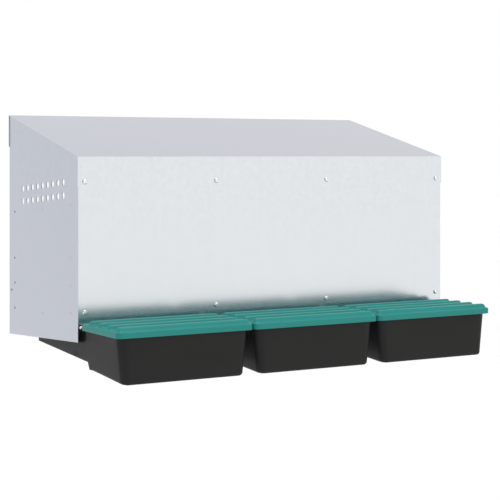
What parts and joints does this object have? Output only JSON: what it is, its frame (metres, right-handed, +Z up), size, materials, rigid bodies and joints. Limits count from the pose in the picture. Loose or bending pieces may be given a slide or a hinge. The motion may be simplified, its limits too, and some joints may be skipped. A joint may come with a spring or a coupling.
{
  "type": "nesting box",
  "caption": "Wall-hung roll-away laying nest: sheet-steel housing with sloped roof, vented sides and open rear; sliding plastic egg trays with hinged ribbed lids in front",
  "frame": {"origin": "centre of the four hanging holes, on the rear face of the side walls' rear flanges", "axes": "+X to the right seen from the egg side, +Y towards the hens' side and the wall the nest hangs on, +Z up"},
  "size_m": [0.7226, 0.4396, 0.4182],
  "materials": {
    "steel_sheet": "smooth galvanised sheet, satin",
    "tray_plastic": "fine matte moulded texture",
    "lid_plastic": "satin moulded plastic",
    "rod_steel": "zinc-plated wire",
    "zinc_fasteners": "bright zinc plating"
  },
  "bodies": {
    "housing": {"left_side_wall": "steel_sheet", "right_side_wall": "steel_sheet", "left_divider": "steel_sheet", "right_divider": "steel_sheet", "roof": "steel_sheet", "front_panel": "steel_sheet", "entry_sill": "steel_sheet", "front_top_screws": "zinc_fasteners", "front_bottom_screws": "zinc_fasteners", "rear_top_screws": "zinc_fasteners", "sill_screws": "zinc_fasteners", "front_top_nuts": "zinc_fasteners", "front_bottom_nuts": "zinc_fasteners", "rear_top_nuts": "zinc_fasteners", "sill_nuts": "zinc_fasteners"},
    "left_tray": {"left_egg_tray": "tray_plastic", "left_hinge_rod": "rod_steel"},
    "left_lid": {"left_tray_lid": "lid_plastic"},
    "middle_tray": {"middle_egg_tray": "tray_plastic", "middle_hinge_rod": "rod_steel"},
    "middle_lid": {"middle_tray_lid": "lid_plastic"},
    "right_tray": {"right_egg_tray": "tray_plastic", "right_hinge_rod": "rod_steel"},
    "right_lid": {"right_tray_lid": "lid_plastic"}
  },
  "joints": [
    {"name": "left_tray_slide", "type": "slide", "parent": "housing", "child": "left_tray", "axis": [0, -0.9985, 0.0545], "range_m": [0, 0.18]},
    {"name": "left_lid_hinge", "type": "hinge", "parent": "left_tray", "child": "left_lid", "pos_m": [-0.24, -0.2985, -0.12], "axis": [-1, 0, 0], "range_deg": [0, 65]},
    {"name": "middle_tray_slide", "type": "slide", "parent": "housing", "child": "middle_tray", "axis": [0, -0.9985, 0.0545], "range_m": [0, 0.18]},
    {"name": "middle_lid_hinge", "type": "hinge", "parent": "middle_tray", "child": "middle_lid", "pos_m": [0, -0.2985, -0.12], "axis": [-1, 0, 0], "range_deg": [0, 65]},
    {"name": "right_tray_slide", "type": "slide", "parent": "housing", "child": "right_tray", "axis": [0, -0.9985, 0.0545], "range_m": [0, 0.18]},
    {"name": "right_lid_hinge", "type": "hinge", "parent": "right_tray", "child": "right_lid", "pos_m": [0.24, -0.2985, -0.12], "axis": [-1, 0, 0], "range_deg": [0, 65]}
  ]
}
